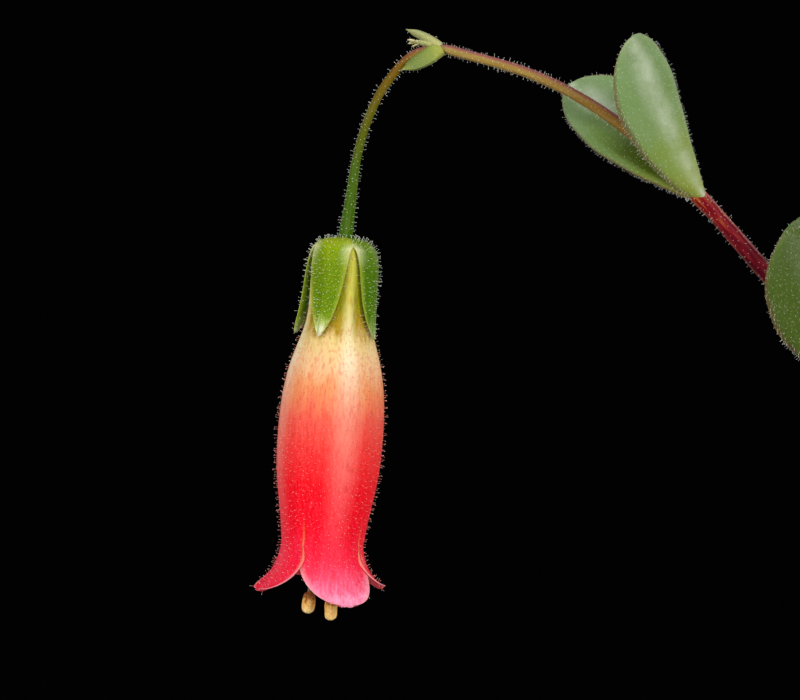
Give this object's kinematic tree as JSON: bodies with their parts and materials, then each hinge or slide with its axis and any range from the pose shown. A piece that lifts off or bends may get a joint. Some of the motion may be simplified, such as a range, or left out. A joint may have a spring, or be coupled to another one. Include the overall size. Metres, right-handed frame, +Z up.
{
  "type": "potted tessa kalanchoe",
  "caption": "Potted kalanchoe: leafy stems arch out of a clay pot and end in hanging, tubular coral-red flowers with flared petal lobes.",
  "frame": {"origin": "centre of the pot's flat base, on the surface that it stands on", "axes": "+Z up along the pot's axis; -X towards the pictured flower, whose stem lies in the plane y = 0"},
  "size_m": [0.2085, 0.2192, 0.1968],
  "materials": {
    "clay": "unglazed red clay, matte",
    "potting_soil": "loose dark potting soil of peat and bark, matte",
    "foliage": "fleshy green leaves and reddish stems with a soft sheen and fine gland-tipped hairs",
    "petals": "thin waxy petals, cream at the neck through peach to coral red and pink",
    "anthers": "tan anthers and pale green pistil, matte"
  },
  "bodies": {
    "root": {"pot": "clay", "soil": "potting_soil", "flower_stem_1": "foliage", "flower_stem_2": "foliage", "flower_stem_3": "foliage", "flower_stem_4": "foliage", "flower_stem_5": "foliage", "flower_stem_6": "foliage", "flower_stem_7": "foliage", "flower_stem_8": "foliage", "leaf_shoot_1": "foliage", "leaf_shoot_2": "foliage", "leaf_shoot_3": "foliage", "leaf_shoot_4": "foliage", "leaf_shoot_5": "foliage", "leaf_shoot_6": "foliage", "leaf_shoot_7": "foliage", "corolla_1": "petals", "corolla_2": "petals", "corolla_3": "petals", "corolla_4": "petals", "corolla_5": "petals", "corolla_6": "petals", "corolla_7": "petals", "corolla_8": "petals", "corolla_9": "petals", "corolla_10": "petals", "corolla_11": "petals", "corolla_12": "petals", "corolla_13": "petals", "stamens_1": "anthers", "stamens_2": "anthers", "stamens_3": "anthers", "stamens_4": "anthers", "stamens_5": "anthers", "stamens_6": "anthers", "stamens_7": "anthers", "stamens_8": "anthers", "stamens_9": "anthers", "stamens_10": "anthers", "stamens_11": "anthers", "stamens_12": "anthers", "stamens_13": "anthers"}
  },
  "joints": []
}
